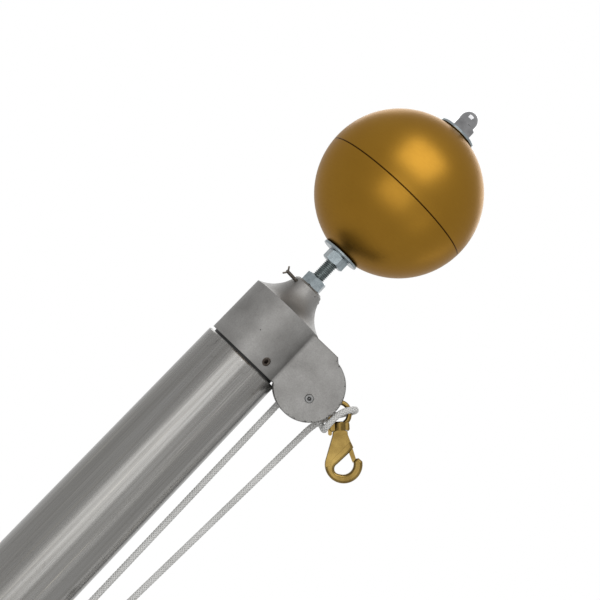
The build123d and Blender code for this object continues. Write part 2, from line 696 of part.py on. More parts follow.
def make_hook():
    side = hook_face()
    side = fillet(side.vertices(), HOOK_CORNER)
    body = plate(side, HOOK_THICKNESS)
    faces = body.faces().sort_by(Axis.Y)
    body = fillet(faces[0].edges() + faces[-1].edges(), HOOK_EDGE)
    flank = extrude(Plane.XZ * flank_face(), HOOK_THICKNESS, both=True)
    core = Box(100, HOOK_THICKNESS - 2 * FACET_DEPTH, 200)
    body -= flank - core
    below = Pos(0, 0, SHOULDER_Z) * Box(100, 100, 100, align=(Align.CENTER, Align.CENTER, Align.MAX))
    body = body & (below + shoulder_room(0))
    pin_top = SADDLE_TOP - SWIVEL_HEAD_HEIGHT - RUNNING
    body += rod_between(SWIVEL_PIN_RADIUS, DOME_TOP - 1, pin_top)
    body += rod_between(SWIVEL_HEAD_RADIUS, pin_top, pin_top + SWIVEL_HEAD_HEIGHT)
    pivot = Pos(GATE_PIVOT[0], 0, GATE_PIVOT[1])
    slot = plate(gate_face(grow=GATE_PLAY), GATE_THICKNESS + 2 * GATE_PLAY)
    for turn in range(0, GATE_OPENING + 5, 4):
        body -= pivot * Rot(0, turn, 0) * pivot.inverse() * slot
    body -= pivot * Rot(90, 0, 0) * Cylinder(GATE_PIN_RADIUS + FIT, 2 * HOOK_THICKNESS)
    return snap_place() * body


def make_gate():
    pivot = Pos(GATE_PIVOT[0], 0, GATE_PIVOT[1])
    gate = plate(gate_face(), GATE_THICKNESS)
    gate -= pivot * Rot(90, 0, 0) * Cylinder(GATE_PIN_RADIUS + FIT, 4 * GATE_THICKNESS)
    return snap_place() * gate


def make_gate_pin():
    length = HOOK_THICKNESS - 2 * FACET_DEPTH - 2 * GATE_PIN_SINK
    pin = Rot(90, 0, 0) * Cylinder(GATE_PIN_RADIUS, length)
    return snap_place() * Pos(GATE_PIVOT[0], 0, GATE_PIVOT[1]) * pin


# ---------------------------------------------------------------- halyard
# Route from the inner fall's knot, over the sheave, once round the eye and down the outer fall.
# Heights are from the tube's top; each corner is followed by the radius of its bend.
HALYARD_START = (52.6, 0.0, -262.0)
HALYARD_CORNERS = [
    ((51.2, 0.0, 30.2), 15.99),
    ((83.2, 0.0, 30.2), 15.99),
    ((83.2, 0.0, 8.0), 9.5),
    ((96.6, 0.0, 3.4), 5.7),
    ((95.4, -12.1, 4.2), 5.7),
    ((94.9, -12.1, 24.1), 14.0),
    ((103.1, -12.1, 36.0), 5.7),
    ((105.3, 0.6, 34.2), 5.7),
    ((87.3, 7.2, 8.2), 40.0),
]
HALYARD_END = (75.7, 1.0, -246.0)


def make_halyard():
    route = [HALYARD_START] + [point for point, radius in HALYARD_CORNERS] + [HALYARD_END]
    points = [Vector(x, y, TUBE_TOP + z) for x, y, z in route]
    radii = [radius for point, radius in HALYARD_CORNERS]
    path = FilletPolyline(*points, radius=radii)
    rope = sweep(Plane(path @ 0, z_dir=path % 0) * Circle(ROPE_RADIUS), path=path)
    print("halyard bend radii:", radii)
    print(f"halyard length {path.length:.1f} mm, {rope.volume / (pi * ROPE_RADIUS**2):.1f} by volume")
    return rope


def make_knot(foot, before):
    """A stopper knot under the end of a fall, with the rope's tail."""
    along = (Vector(*foot) - Vector(*before)).normalized()
    knot = Cylinder(KNOT_RADIUS, KNOT_HEIGHT, align=STANDING)
    knot = fillet(knot.edges().filter_by(GeomType.CIRCLE), KNOT_ROUNDING)
    knot += rod_between(ROPE_RADIUS, KNOT_HEIGHT - 1, KNOT_HEIGHT + KNOT_TAIL)
    return Plane(Vector(foot[0], foot[1], TUBE_TOP + foot[2]), z_dir=along) * knot


parts["pole_tube"] = make_tube()
parts["spigot_plug"] = make_plug()
parts["thrust_washer"] = make_thrust_washer()
parts["truck_casting"] = make_truck()
for index, placed in enumerate(screw_places()):
    parts[f"set_screw_{index + 1}"] = make_screw(placed)
parts["sheave_axle"] = make_axle()
parts["sheave"] = make_sheave()
parts["finial_rod"] = make_rod()
parts["boss_nut"] = make_nut(BOSS_TOP, BOSS_NUT_TURN)
parts["ball_nut"] = make_nut(UPPER_NUT_Z, BALL_NUT_TURN)
parts["lower_ball_washer"] = make_ball_washer(UPPER_NUT_Z + NUT_HEIGHT)
parts["upper_ball_washer"] = make_ball_washer(BALL_Z + BALL_SEAT_DROP)
parts["dome_nut"] = make_dome_nut()
parts["ball_lower_bowl"] = make_ball_lower()
parts["ball_upper_bowl"] = make_ball_upper()
parts["cotter_pin"] = make_cotter()
parts["halyard"] = make_halyard()
parts["inner_fall_knot"] = make_knot(HALYARD_START, HALYARD_CORNERS[0][0])
parts["outer_fall_knot"] = make_knot(HALYARD_END, HALYARD_CORNERS[-1][0])
parts["snap_eye"] = make_eye()
parts["snap_hook"] = make_hook()
parts["snap_gate"] = make_gate()
parts["gate_pin"] = make_gate_pin()

os.makedirs("parts", exist_ok=True)
for name, shape in parts.items():
    export_step(shape, f"parts/{name}.step")
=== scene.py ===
# %% [markdown]
# # The head of a flagpole
#
# The real object is the top of a cone-tapered aluminium pole. A cast truck turns on a plug in the
# tube and carries one sheave, a gold ball on a threaded rod, and a braided halyard with a brass snap.
# The solids come from CAD and never move. This lesson gives them their finishes, and makes the pieces
# that CAD leaves plain: the rope's braid, its knots and the screw thread.

# %% Load the solids
import json
import math

import bpy
import numpy as np
from mathutils import Matrix, Vector


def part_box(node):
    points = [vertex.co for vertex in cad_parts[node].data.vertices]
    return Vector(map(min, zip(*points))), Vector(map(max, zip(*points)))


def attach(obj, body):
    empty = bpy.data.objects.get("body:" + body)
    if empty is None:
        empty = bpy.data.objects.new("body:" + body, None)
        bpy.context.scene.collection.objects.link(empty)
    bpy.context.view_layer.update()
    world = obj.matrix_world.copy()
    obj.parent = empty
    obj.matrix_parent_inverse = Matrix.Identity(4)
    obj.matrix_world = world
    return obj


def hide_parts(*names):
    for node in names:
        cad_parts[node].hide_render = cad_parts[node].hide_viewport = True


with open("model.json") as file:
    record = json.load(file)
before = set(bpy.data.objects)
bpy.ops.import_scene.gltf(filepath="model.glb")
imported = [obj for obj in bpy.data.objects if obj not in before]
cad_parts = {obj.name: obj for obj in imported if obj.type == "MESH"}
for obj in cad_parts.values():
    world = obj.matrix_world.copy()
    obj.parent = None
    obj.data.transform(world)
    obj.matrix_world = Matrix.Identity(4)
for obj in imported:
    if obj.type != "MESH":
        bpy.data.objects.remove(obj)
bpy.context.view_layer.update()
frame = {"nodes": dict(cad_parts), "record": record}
nodes = frame["nodes"]
bpy.ops.object.select_all(action="DESELECT")

# %% [markdown]
# ## Places that everything else is measured from
#
# The tube's top edge is the one level that the truck, the rope and the camera share, so it is read
# from the tube itself. Lengths are in metres, and MM turns the millimetres of a drawing into them.

# %% Shared places
MM = 0.001
tube_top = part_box("pole_tube")[1][2]
print("tube top at", round(tube_top, 4))

# %% [markdown]
# ## The camera
#
# A long lens stands well back from the pole, a little below the tube's top, and looks slightly
# upwards. It is rolled by almost half a right angle, so the pole leans across the picture.
# The direction is worked out from two points, and the roll is then turned about the line of sight.

# %% Camera
CAMERA_DISTANCE = 1.272
CAMERA_HEIGHT = -8 * MM
AIM_HEIGHT = 71.8 * MM
AIM_SIDE = 2.0 * MM
CAMERA_ROLL = math.radians(43.8)
CAMERA_LENS = 86.5
SENSOR_WIDTH = 36.0

aim = Vector((AIM_SIDE, 0, tube_top + AIM_HEIGHT))
eye = Vector((AIM_SIDE, -CAMERA_DISTANCE, tube_top + CAMERA_HEIGHT))
bpy.ops.object.camera_add(location=eye)
camera = bpy.context.object
camera.name = "view_camera"
camera.rotation_euler = (aim - eye).to_track_quat("-Z", "Y").to_euler()
camera.rotation_euler.rotate_axis("Z", CAMERA_ROLL)
camera.data.lens = CAMERA_LENS
camera.data.sensor_width = SENSOR_WIDTH
bpy.context.scene.camera = camera
print("camera at", tuple(round(c, 3) for c in eye))

# %% [markdown]
# ## The halyard's line
#
# A halyard is one limp rope. It comes up the inside fall, runs over the sheave between the cheeks,
# goes round the outside of the snap's eye and down the outer fall. A rigger would thread it through
# the eye, but the CAD rope stays outside it, and this line follows that rope. A few control points
# are enough for a NURBS spline of order 3, which is smooth and passes a little inside its corners, as
# a rope under light tension does. The spline has no thickness. It only gives the points that the
# strands follow.

# %% Route of the halyard
HALYARD_POINTS = (
    (52.6, 0.0, -262.0),
    (51.4, 0.0, -5.8),
    (51.2, 0.0, 30.2),
    (83.2, 0.0, 30.2),
    (83.2, 0.0, 8.0),
    (96.6, 0.0, 3.4),
    (95.4, -12.1, 4.2),
    (94.9, -12.1, 24.1),
    (103.1, -12.1, 36.0),
    (105.3, 0.6, 34.2),
    (87.3, 7.2, 8.2),
    (85.7, 6.4, -27.8),
    (75.7, 1.0, -246.0),
)
ROPE_DIAMETER = 6 * MM


def spline_points(points, steps):
    """The points along a NURBS spline of order 3, read from its own evaluated mesh."""
    curve = bpy.data.curves.new("route", "CURVE")
    curve.dimensions = "3D"
    spline = curve.splines.new("NURBS")
    spline.points.add(len(points) - 1)
    for control, point in zip(spline.points, points):
        control.co = (*point, 1)
    spline.order_u = 3
    spline.use_endpoint_u = True
    spline.resolution_u = steps
    holder = bpy.data.objects.new("route", curve)
    bpy.context.collection.objects.link(holder)
    bpy.context.view_layer.update()
    mesh = bpy.data.meshes.new_from_object(holder)
    places = np.array([tuple(vertex.co) for vertex in mesh.vertices])
    bpy.data.objects.remove(holder)
    bpy.data.meshes.remove(mesh)
    return places


def along(places):
    """How far along a line each of its points lies."""
    steps = np.linalg.norm(np.diff(places, axis=0), axis=1)
    return np.concatenate(([0.0], np.cumsum(steps)))


halyard_control = [(x * MM, y * MM, tube_top + z * MM) for x, y, z in HALYARD_POINTS]
halyard_line = spline_points(halyard_control, steps=60)

# %% [markdown]
# ## A braid
#
# The rope is braided over a plain core: six strands wind one way and six the other, and each goes
# over one and under the next. A texture can't cast the small shadows between them, so the strands
# are modelled. Every strand is a flat ribbon with five sides that runs round the line on a helix, and
# its distance from the line swings in and out as it crosses the others. The two directions swing in
# opposite phase, which is all that a plain weave needs.

# %% Points and directions along a line
def resampled(places, step):
    """The same line with its points at an even distance."""
    length = along(places)
    count = max(8, int(round(length[-1] / step)))
    wanted = np.linspace(0, length[-1], count + 1)
    return np.stack([np.interp(wanted, length, places[:, i]) for i in range(3)], axis=1), wanted


def carried_frames(places):
    """Two cross directions at each point, carried along the line without twist."""
    tangent = np.gradient(places, axis=0)
    tangent /= np.linalg.norm(tangent, axis=1)[:, None]
    side = np.cross(tangent[0], (0.0, 1.0, 0.02))
    side /= np.linalg.norm(side)
    sides = []
    for direction in tangent:
        side = side - direction * np.dot(side, direction)
        side = side / np.linalg.norm(side)
        sides.append(side)
    sides = np.array(sides)
    return tangent, sides, np.cross(tangent, sides)


print("points on the halyard's spline:", len(halyard_line))

# %% A closed tube along a line
def swept(centres, across, out, outline, half_width, half_height):
    """Rings of an outline set along a line, and the faces of the closed tube between them."""
    count, corners = len(centres), len(outline)
    rings = np.stack(
        [centres + across * (u * half_width) + out * (v * half_height) for u, v in outline], axis=1
    )
    first = np.arange(count - 1)[:, None] * corners
    here = np.arange(corners)[None, :]
    after = (here + 1) % corners
    faces = np.stack(
        [first + here, first + after, first + corners + after, first + corners + here], axis=2
    )
    faces = faces.reshape(-1, 4).tolist()
    faces.append(list(range(corners))[::-1])
    faces.append([(count - 1) * corners + i for i in range(corners)])
    return rings.reshape(-1, 3), faces


# %% Select and edit
def pick(*pieces):
    """Select these pieces and nothing else, with the first of them active."""
    bpy.ops.object.select_all(action="DESELECT")
    for piece in pieces:
        piece.select_set(True)
    bpy.context.view_layer.objects.active = pieces[0]


def edit_whole(tool, **settings):
    """Use one tool of edit mode on the whole mesh of the active piece."""
    bpy.ops.object.mode_set(mode="EDIT")
    bpy.ops.mesh.select_all(action="SELECT")
    tool(**settings)
    bpy.ops.object.mode_set(mode="OBJECT")


# %% Strands round a line
STRANDS_EACH_WAY = 6
BRAID_LAY = 17 * MM
STEPS_PER_CROSSING = 6
RIBBON = ((-1.0, 0.0), (-0.55, 1.0), (0.55, 1.0), (1.0, 0.0), (0.0, -0.7))
# Shares of the rope's radius, and of the width that one strand has to itself.
RIBBON_HALF_HEIGHT = 0.15
RIBBON_SWING = 0.08
CORE_GAP = 0.02
RIBBON_HALF_WIDTH = 0.46
CORE_SIDES = 8
# A line with no more points than this is so short that its core keeps them all.
FEW_POINTS = 60


def braid(name, line, radius):
    """A braided rope of a radius that follows a line, over a plain core."""
    places, length = resampled(line, BRAID_LAY / STRANDS_EACH_WAY / STEPS_PER_CROSSING)
    tangent, side, other = carried_frames(places)
    half_height = RIBBON_HALF_HEIGHT * radius
    swing = RIBBON_SWING * radius
    middle = radius - swing - half_height
    slant = math.atan2(2 * math.pi * middle, BRAID_LAY)
    half_width = RIBBON_HALF_WIDTH * 2 * math.pi * middle / STRANDS_EACH_WAY * math.cos(slant)
    vertices, faces, start = [], [], 0

    def add(points, quads):
        nonlocal start
        vertices.append(points)
        faces.extend([[index + start for index in quad] for quad in quads])
        start += len(points)

    for way in (1, -1):
        wave = way * np.cos(2 * math.pi * STRANDS_EACH_WAY * length / BRAID_LAY)
        for number in range(STRANDS_EACH_WAY):
            turn = way * 2 * math.pi * length / BRAID_LAY + 2 * math.pi * number / STRANDS_EACH_WAY
            out = side * np.cos(turn)[:, None] + other * np.sin(turn)[:, None]
            centres = places + out * (middle + swing * wave)[:, None]
            run = np.gradient(centres, axis=0)
            run /= np.linalg.norm(run, axis=1)[:, None]
            add(*swept(centres, np.cross(out, run), out, RIBBON, half_width, half_height))
    coarse = places[::STEPS_PER_CROSSING] if len(places) > FEW_POINTS else places
    tangent, side, other = carried_frames(coarse)
    angles = [2 * math.pi * i / CORE_SIDES for i in range(CORE_SIDES)]
    round_outline = [(math.cos(angle), math.sin(angle)) for angle in angles]
    core = middle - CORE_GAP * radius
    add(*swept(coarse, side, other, round_outline, core, core))
    mesh = bpy.data.meshes.new(name)
    mesh.from_pydata(np.concatenate(vertices).tolist(), [], faces)
    mesh.update()
    piece = bpy.data.objects.new(name, mesh)
    bpy.context.collection.objects.link(piece)
    pick(piece)
    edit_whole(bpy.ops.mesh.normals_make_consistent, inside=False)
    bpy.ops.object.shade_smooth()
    bpy.ops.object.select_all(action="DESELECT")
    triangles = sum(len(face) - 2 for face in faces)
    print(name, "triangles", triangles)
    return piece


rope = braid("braided_halyard", halyard_line, ROPE_DIAMETER / 2)

# %% [markdown]
# ## The stopper knots
#
# Each fall ends in a stopper knot, or it would run out through the sheave. The knot is two and a half
# turns of the rope wound tightly on itself, with a short tail that is sealed at its end. The turns
# are another braid on a short helix, whose ends dive into the middle, where nobody sees them.

# %% Knots and tails
KNOT_TURNS = 2.6
KNOT_TURN_RADIUS = 4.25 * MM
KNOT_HEIGHT = 15 * MM
KNOT_TAIL = 15 * MM
KNOT_POINTS_PER_TURN = 12
# The helix starts this far out, as a share of its radius, and reaches it at this rate.
DIVE_START = 0.25
DIVE_RATE = 6
# Wound rope is squeezed a little, and so is the tail.
WOUND_RADIUS = ROPE_DIAMETER * 0.46
TAIL_RADIUS = ROPE_DIAMETER * 0.48
SEAL_HEIGHT = 1.6 * MM
SEAL_LIFT = 0.1 * MM
SEAL_ROUNDING = 0.5 * MM


def stopper_knot(name, foot, before, replaced):
    """A wound knot under the end of a fall, with its tail."""
    foot, before = Vector(foot), Vector(before)
    down = (foot - before).normalized()
    pose = Matrix.Translation(foot) @ down.to_track_quat("Z", "Y").to_matrix().to_4x4()
    count = int(KNOT_TURNS * KNOT_POINTS_PER_TURN)
    winding = []
    for number in range(count + 1):
        share = number / count
        dive = min(1.0, DIVE_START + DIVE_RATE * share, DIVE_START + DIVE_RATE * (1 - share))
        angle = 2 * math.pi * KNOT_TURNS * share
        height = TAIL_RADIUS + share * (KNOT_HEIGHT - 2 * TAIL_RADIUS)
        reach = KNOT_TURN_RADIUS * dive
        winding.append(pose @ Vector((reach * math.cos(angle), reach * math.sin(angle), height)))
    turns = braid(name, spline_points(winding, steps=8), WOUND_RADIUS)
    tail_line = [pose @ Vector((0, 0, z)) for z in (-1 * MM, KNOT_HEIGHT, KNOT_HEIGHT + KNOT_TAIL)]
    tail = braid(name + "_tail", spline_points(tail_line, steps=20), TAIL_RADIUS)
    bpy.ops.mesh.primitive_cylinder_add(
        vertices=24,
        radius=WOUND_RADIUS,
        depth=SEAL_HEIGHT,
        location=(0, 0, KNOT_HEIGHT + KNOT_TAIL + SEAL_LIFT),
    )
    seal = bpy.context.object
    edit_whole(bpy.ops.mesh.bevel, offset=SEAL_ROUNDING, segments=3, affect="EDGES")
    seal.data.transform(pose @ seal.matrix_world)
    seal.matrix_world = Matrix.Identity(4)
    bpy.ops.object.shade_smooth()
    pick(turns, tail, seal)
    bpy.ops.object.join()
    bpy.ops.object.select_all(action="DESELECT")
    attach(turns, "truck")
    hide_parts(replaced)
    return turns


inner_knot = stopper_knot(
    "inner_stopper_knot", halyard_control[0], halyard_control[1], "inner_fall_knot"
)
outer_knot = stopper_knot(
    "outer_stopper_knot", halyard_control[-1], halyard_control[-2], "outer_fall_knot"
)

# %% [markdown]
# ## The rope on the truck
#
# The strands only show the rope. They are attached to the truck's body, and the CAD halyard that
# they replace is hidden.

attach(rope, "truck")
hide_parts("halyard")

# %% [markdown]
# ## The threaded rod
#
# The ball stands on a length of M12 studding, and its thread shows between the two nuts. The thread
# is one ridge with a narrow crest that winds round a plain core. The ridge's outline is drawn at the
# core's surface, and the Screw modifier carries it up the rod, by one pitch for each turn.

# %% The rod's core
THREAD_PITCH = 1.75 * MM
THREAD_DEPTH = 1.0 * MM
# The core and the ridge reach this far into each other, so that no gap opens between them.
OVERLAP = 0.1 * MM
ROD_BEVEL = 0.6 * MM
rod_low, rod_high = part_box("finial_rod")
rod_radius = (rod_high[0] - rod_low[0]) / 2
rod_length = rod_high[2] - rod_low[2]
core_radius = rod_radius - THREAD_DEPTH

bpy.ops.mesh.primitive_cylinder_add(
    vertices=48,
    radius=core_radius + OVERLAP,
    depth=rod_length,
    location=(0, 0, rod_low[2] + rod_length / 2),
)
studding = bpy.context.object
studding.name = "threaded_rod"
edit_whole(bpy.ops.mesh.bevel, offset=ROD_BEVEL, segments=2, affect="EDGES", clamp_overlap=True)
bpy.ops.object.transform_apply(location=True, rotation=True, scale=True)
print("core radius", round(core_radius, 5), "length", round(rod_length, 4))

# %% The thread's ridge
STEPS_PER_TURN = 40
# The thread stops short of the rod's ends by this many pitches in all.
PLAIN_PITCHES = 3
FOOT_SHARE = 0.46
CREST_SHARE = 0.07
CREST_DROP = 0.05 * MM

thread_turns = int((rod_length - PLAIN_PITCHES * THREAD_PITCH) / THREAD_PITCH)
foot_half = THREAD_PITCH * FOOT_SHARE
crest_half = THREAD_PITCH * CREST_SHARE
foot_radius = core_radius - OVERLAP
crest_radius = rod_radius - CREST_DROP
start_z = rod_low[2] + THREAD_PITCH
ridge_mesh = bpy.data.meshes.new("thread_ridge")
ridge_mesh.from_pydata(
    [
        (foot_radius, 0, start_z - foot_half),
        (crest_radius, 0, start_z - crest_half),
        (crest_radius, 0, start_z + crest_half),
        (foot_radius, 0, start_z + foot_half),
    ],
    [(0, 1), (1, 2), (2, 3), (3, 0)],
    [],
)
ridge = bpy.data.objects.new("thread_ridge", ridge_mesh)
bpy.context.collection.objects.link(ridge)
pick(ridge)
winding = ridge.modifiers.new("winding", "SCREW")
winding.screw_offset = THREAD_PITCH
winding.iterations = thread_turns
winding.steps = STEPS_PER_TURN
winding.render_steps = STEPS_PER_TURN
winding.use_merge_vertices = False
bpy.ops.object.modifier_apply(modifier="winding")

# %% Close the ridge's ends and join it to the core
bpy.ops.object.mode_set(mode="EDIT")
bpy.ops.mesh.select_mode(type="EDGE")
bpy.ops.mesh.select_all(action="DESELECT")
bpy.ops.mesh.select_non_manifold()
bpy.ops.mesh.edge_face_add()
bpy.ops.mesh.select_all(action="SELECT")
bpy.ops.mesh.normals_make_consistent(inside=False)
bpy.ops.mesh.select_mode(type="VERT")
bpy.ops.object.mode_set(mode="OBJECT")
pick(studding, ridge)
bpy.ops.object.join()
bpy.ops.object.shade_smooth_by_angle(angle=math.radians(30))
bpy.ops.object.select_all(action="DESELECT")
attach(studding, "truck")
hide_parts("finial_rod")
print("thread turns", thread_turns, "faces", len(studding.data.polygons))

# %% [markdown]
# ## Effects that several finishes share
#
# Grain, scratches and pits turn up again and again on these metals, only in different sizes. Each
# is a node group with named inputs, built once, and each finish sets its own values on its copy.

# %% Group helper
VECTOR = "NodeSocketVector"
FLOAT = "NodeSocketFloat"


def new_group(name, output, **values):
    """An empty shader group that takes a vector and some numbers and puts out one number."""
    group = bpy.data.node_groups.new(name, "ShaderNodeTree")
    group.interface.new_socket(name="Vector", in_out="INPUT", socket_type=VECTOR)
    for socket, value in values.items():
        made = group.interface.new_socket(name=socket, in_out="INPUT", socket_type=FLOAT)
        made.default_value = value
    group.interface.new_socket(name=output, in_out="OUTPUT", socket_type=FLOAT)
    return group, group.nodes.new("NodeGroupInput"), group.nodes.new("NodeGroupOutput")


def math_node(tree, operation, first, second=None, third=None, clamp=False):
    """One Math node. Numbers are set on it, and sockets are linked to it."""
    node = tree.nodes.new("ShaderNodeMath")
    node.operation = operation
    node.use_clamp = clamp
    for socket, value in zip(node.inputs, (first, second, third)):
        if value is None:
            continue
        if isinstance(value, (int, float)):
            socket.default_value = value
        else:
            tree.links.new(value, socket)
    return node.outputs[0]


def stepped(tree, value, low, high):
    """A soft step from 0 to 1 between two levels."""
    node = tree.nodes.new("ShaderNodeMapRange")
    node.interpolation_type = "SMOOTHSTEP"
    tree.links.new(value, node.inputs["Value"])
    for socket, level in (("From Min", low), ("From Max", high)):
        if isinstance(level, (int, float)):
            node.inputs[socket].default_value = level
        else:
            tree.links.new(level, node.inputs[socket])
    return node.outputs["Result"]


def texture(tree, kind, vector, scale):
    """A texture node on a vector, at a scale that comes from a socket."""
    node = tree.nodes.new(kind)
    tree.links.new(vector, node.inputs["Vector"])
    tree.links.new(scale, node.inputs["Scale"])
    return node


# %% Grain
GRAIN_DETAIL = 3.0
grain, entry, leave = new_group("grain", "Value", Scale=800.0, Contrast=1.0)
noise = texture(grain, "ShaderNodeTexNoise", entry.outputs["Vector"], entry.outputs["Scale"])
noise.inputs["Detail"].default_value = GRAIN_DETAIL
centred = math_node(grain, "SUBTRACT", noise.outputs["Fac"], 0.5)
spread = math_node(grain, "MULTIPLY", centred, entry.outputs["Contrast"])
grain.links.new(math_node(grain, "ADD", spread, 0.5, clamp=True), leave.inputs["Value"])

# %% Scratches
# A scratch is where the noise passes its middle level, and a coarser noise keeps it to patches.
LINE_DETAIL = 2.0
PATCH_COARSENESS = 0.35
PATCH_START = 0.5
PATCH_FULL = 0.62
scratches, entry, leave = new_group("scratches", "Mask", Scale=60.0, Width=0.02, Amount=0.5)
lines = texture(scratches, "ShaderNodeTexNoise", entry.outputs["Vector"], entry.outputs["Scale"])
lines.inputs["Detail"].default_value = LINE_DETAIL
away = math_node(scratches, "ABSOLUTE", math_node(scratches, "SUBTRACT", lines.outputs["Fac"], 0.5))
near = math_node(scratches, "SUBTRACT", 1.0, stepped(scratches, away, 0.0, entry.outputs["Width"]))
patch_scale = math_node(scratches, "MULTIPLY", entry.outputs["Scale"], PATCH_COARSENESS)
patches = texture(scratches, "ShaderNodeTexNoise", entry.outputs["Vector"], patch_scale)
kept = stepped(scratches, patches.outputs["Fac"], PATCH_START, PATCH_FULL)
shown = math_node(scratches, "MULTIPLY", near, kept)
faded = math_node(scratches, "MULTIPLY", shown, entry.outputs["Amount"])
scratches.links.new(faded, leave.inputs["Mask"])

# %% Pits
# Each cell of the pattern may hold one round pit, and its random colour says whether it does.
pits, entry, leave = new_group("pits", "Mask", Scale=150.0, Size=0.12, Share=0.15)
cells = texture(pits, "ShaderNodeTexVoronoi", entry.outputs["Vector"], entry.outputs["Scale"])
hole = math_node(pits, "LESS_THAN", cells.outputs["Distance"], entry.outputs["Size"])
chance = pits.nodes.new("ShaderNodeSeparateColor")
pits.links.new(cells.outputs["Color"], chance.inputs["Color"])
chosen = math_node(pits, "LESS_THAN", chance.outputs["Red"], entry.outputs["Share"])
pits.links.new(math_node(pits, "MULTIPLY", hole, chosen), leave.inputs["Mask"])
print("shared effects:", [group.name for group in bpy.data.node_groups])

# %% [markdown]
# ## Building a finish
#
# Every finish starts from a Principled shader and Object coordinates, so a pattern keeps its real
# size on every piece. Colours are mixed by masks, and the bumps are added up before one Bump node.

# %% Finish helpers
def new_finish(name, colour, metallic, roughness):
    """A material with its shader. Patterns are linked over the plain values that it starts from."""
    material = bpy.data.materials.new(name)
    material.use_nodes = True
    tree = material.node_tree
    shader = tree.nodes["Principled BSDF"]
    shader.inputs["Base Color"].default_value = (*colour, 1)
    shader.inputs["Metallic"].default_value = metallic
    shader.inputs["Roughness"].default_value = roughness
    return material, tree, shader


def surface(tree, scale=(1, 1, 1)):
    """Object coordinates, stretched by a Mapping node."""
    source = tree.nodes.new("ShaderNodeTexCoord")
    mapping = tree.nodes.new("ShaderNodeMapping")
    mapping.inputs["Scale"].default_value = scale
    tree.links.new(source.outputs["Object"], mapping.inputs["Vector"])
    return mapping.outputs["Vector"]


def effect(tree, group, vector, **values):
    """A shared effect with this finish's own values."""
    node = tree.nodes.new("ShaderNodeGroup")
    node.node_tree = group
    tree.links.new(vector, node.inputs["Vector"])
    for socket, value in values.items():
        node.inputs[socket].default_value = value
    return node.outputs[0]


def mixed(tree, mask, first, second, share=1.0):
    """A colour between two others, by a share of a mask. Each is a colour or a socket."""
    if share != 1.0:
        mask = math_node(tree, "MULTIPLY", mask, share)
    node = tree.nodes.new("ShaderNodeMix")
    node.data_type = "RGBA"
    tree.links.new(mask, node.inputs["Factor"])
    for socket, value in ((node.inputs[6], first), (node.inputs[7], second)):
        if isinstance(value, tuple):
            socket.default_value = (*value, 1)
        else:
            tree.links.new(value, socket)
    return node.outputs[2]


def ranged(tree, value, low, high):
    """A value of 0 to 1 spread between two levels."""
    return math_node(tree, "MULTIPLY_ADD", value, high - low, low)


def bumped(tree, shader, height, distance, strength=1.0):
    """One Bump node on the shader's normal."""
    node = tree.nodes.new("ShaderNodeBump")
    node.inputs["Distance"].default_value = distance
    node.inputs["Strength"].default_value = strength
    tree.links.new(height, node.inputs["Height"])
    tree.links.new(node.outputs["Normal"], shader.inputs["Normal"])


# %% Places on a piece
def object_axes(tree):
    """X, Y and Z on the piece, in metres."""
    source = tree.nodes.new("ShaderNodeTexCoord")
    split = tree.nodes.new("ShaderNodeSeparateXYZ")
    tree.links.new(source.outputs["Object"], split.inputs["Vector"])
    return split.outputs["X"], split.outputs["Y"], split.outputs["Z"]


def distance_out(tree, across, up):
    """How far a place lies from a centre, by Pythagoras."""
    square = math_node(tree, "MULTIPLY_ADD", across, across, math_node(tree, "MULTIPLY", up, up))
    return math_node(tree, "POWER", square, 0.5)


def around(tree, squeeze):
    """Directions round the pole with the squeezed height, so that noise on them runs in streaks."""
    x, y, z = object_axes(tree)
    reach = distance_out(tree, x, y)
    turned = tree.nodes.new("ShaderNodeCombineXYZ")
    tree.links.new(math_node(tree, "DIVIDE", x, reach), turned.inputs["X"])
    tree.links.new(math_node(tree, "DIVIDE", y, reach), turned.inputs["Y"])
    tree.links.new(math_node(tree, "MULTIPLY", z, squeeze), turned.inputs["Z"])
    return turned.outputs["Vector"]


finishes = {}

# %% [markdown]
# ### The tube
#
# Drawn aluminium tube has fine lines along it from the die, and a satin grain from polishing. The
# lines are noise on coordinates that run round the tube, squeezed lengthways until they become
# streaks. The grain is the same noise on plain coordinates. A few bright lines lie on the side that
# the rope rubs, and the top edge has dings and chips, where the truck has knocked it.

# %% Streaks and grain of the tube
TUBE_DARK = (0.15, 0.145, 0.135)
TUBE_LIGHT = (0.25, 0.247, 0.24)
TUBE_STREAK = (0.13, 0.126, 0.12)
TUBE_SPECK = (0.15, 0.148, 0.145)
material, tree, shader = new_finish("tube", TUBE_LIGHT, metallic=1, roughness=0.2)
streak_vector = around(tree, 0.35)
streaks = effect(tree, grain, streak_vector, Scale=14.0, Contrast=1.6)
fine_streaks = effect(tree, grain, streak_vector, Scale=70.0, Contrast=1.5)
speck = effect(tree, grain, surface(tree), Scale=1600.0, Contrast=1.6)
tone = mixed(tree, streaks, TUBE_DARK, TUBE_LIGHT)
tone = mixed(tree, fine_streaks, tone, TUBE_STREAK, share=0.2)
tone = mixed(tree, speck, tone, TUBE_SPECK, share=0.3)

# %% Bright lines on the rope's side
RUBBED_LINE = (0.52, 0.475, 0.39)
RUBBED_START = 0.2
RUBBED_FULL = 0.5
line_vector = around(tree, 0.05)
drawn_lines = effect(tree, scratches, line_vector, Scale=34.0, Width=0.02, Amount=1.0)
facing = tree.nodes.new("ShaderNodeSeparateXYZ")
tree.links.new(line_vector, facing.inputs["Vector"])
rope_side = stepped(tree, facing.outputs["X"], RUBBED_START, RUBBED_FULL)
drawn_lines = math_node(tree, "MULTIPLY", drawn_lines, ranged(tree, rope_side, 0.2, 1.0))
tone = mixed(tree, drawn_lines, tone, RUBBED_LINE)

